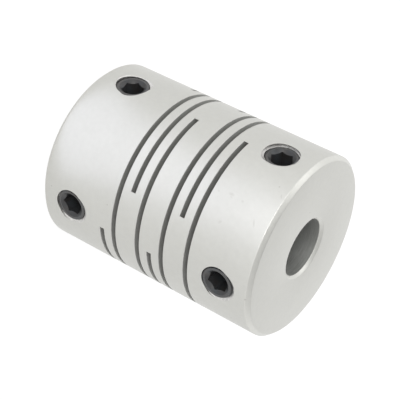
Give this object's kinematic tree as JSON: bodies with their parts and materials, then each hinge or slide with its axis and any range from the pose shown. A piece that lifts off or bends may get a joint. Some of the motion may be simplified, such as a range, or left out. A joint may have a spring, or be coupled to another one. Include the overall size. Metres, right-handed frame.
{
  "type": "flexible shaft coupling",
  "caption": "Slit beam shaft coupling: a bored aluminium cylinder whose middle is cut by straight slits so that it flexes, with hex socket set screws in each hub to grip the shafts.",
  "frame": {"origin": "centre of the lower end face, which the part stands on", "axes": "+Z along the shaft axis, up to the end face that the picture shows; one set screw of each hub points along +X and the other along +Y"},
  "size_m": [0.019, 0.019, 0.025],
  "materials": {
    "anodised_aluminium": "fine blasted, clear anodised, satin",
    "black_oxide_steel": "black oxide, slightly oily"
  },
  "bodies": {
    "coupling": {"coupling_body": "anodised_aluminium"},
    "lower_x_screw": {"lower_x_set_screw": "black_oxide_steel"},
    "lower_y_screw": {"lower_y_set_screw": "black_oxide_steel"},
    "upper_x_screw": {"upper_x_set_screw": "black_oxide_steel"},
    "upper_y_screw": {"upper_y_set_screw": "black_oxide_steel"}
  },
  "joints": [
    {"name": "lower_x_screw_travel", "type": "slide", "parent": "coupling", "child": "lower_x_screw", "axis": [1, 0, 0], "range_m": [-0.0014, 0.0014]},
    {"name": "lower_y_screw_travel", "type": "slide", "parent": "coupling", "child": "lower_y_screw", "axis": [0, 1, 0], "range_m": [-0.0014, 0.0014]},
    {"name": "upper_x_screw_travel", "type": "slide", "parent": "coupling", "child": "upper_x_screw", "axis": [1, 0, 0], "range_m": [-0.0014, 0.0014]},
    {"name": "upper_y_screw_travel", "type": "slide", "parent": "coupling", "child": "upper_y_screw", "axis": [0, 1, 0], "range_m": [-0.0014, 0.0014]}
  ]
}
